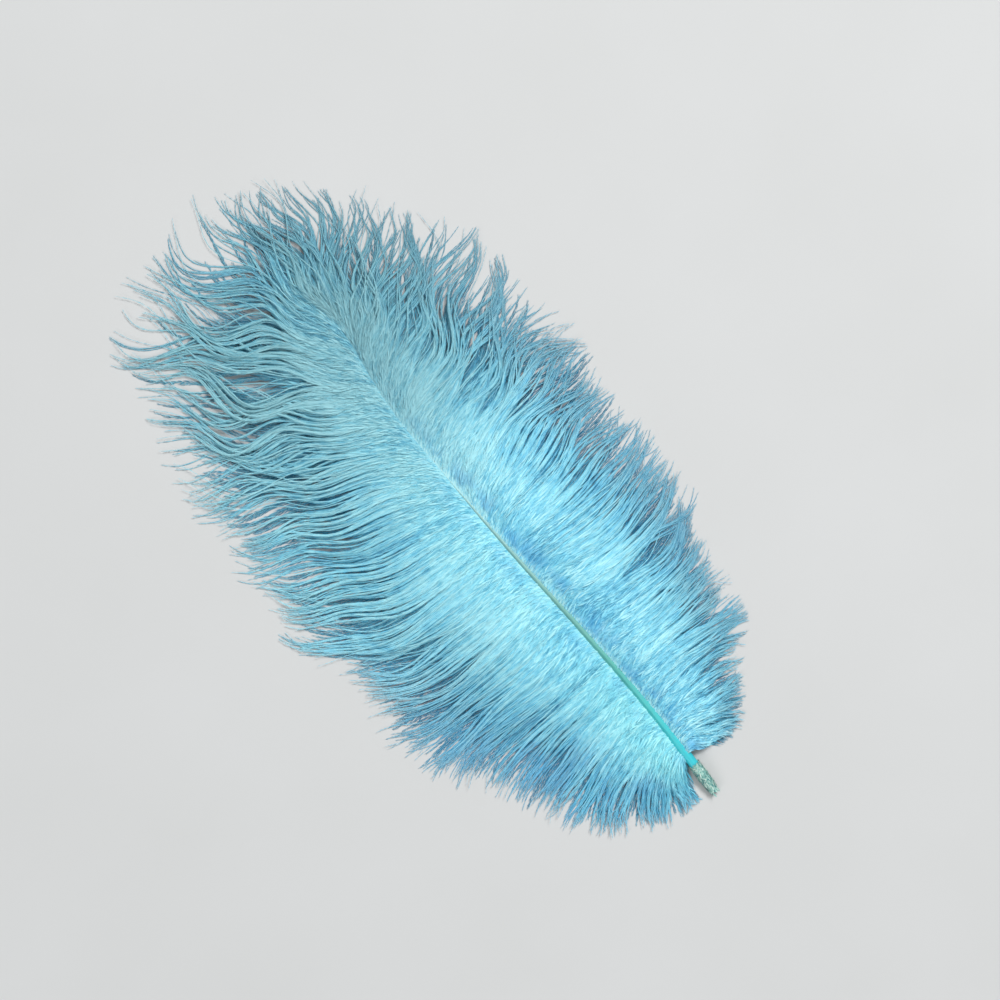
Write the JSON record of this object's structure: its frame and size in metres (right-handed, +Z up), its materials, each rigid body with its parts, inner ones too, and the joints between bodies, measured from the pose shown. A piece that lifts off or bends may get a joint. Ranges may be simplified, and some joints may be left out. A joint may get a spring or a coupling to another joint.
{
  "type": "ostrich feather",
  "caption": "Dyed sky-blue ostrich plume: a tapering shaft with a bare cut quill and broad soft vanes whose drooping locks end in fine wisps; lies flat as a decoration.",
  "frame": {"origin": "on the surface that the plume lies on, below the middle of its box", "axes": "+Y along the shaft from the cut quill to the tip, +X to the right seen from above, +Z up"},
  "size_m": [0.152, 0.2866, 0.0177],
  "materials": {
    "barbs": "soft matt sky blue, paler along the shaft"
  },
  "bodies": {
    "root": {"feather": "barbs"}
  },
  "joints": []
}
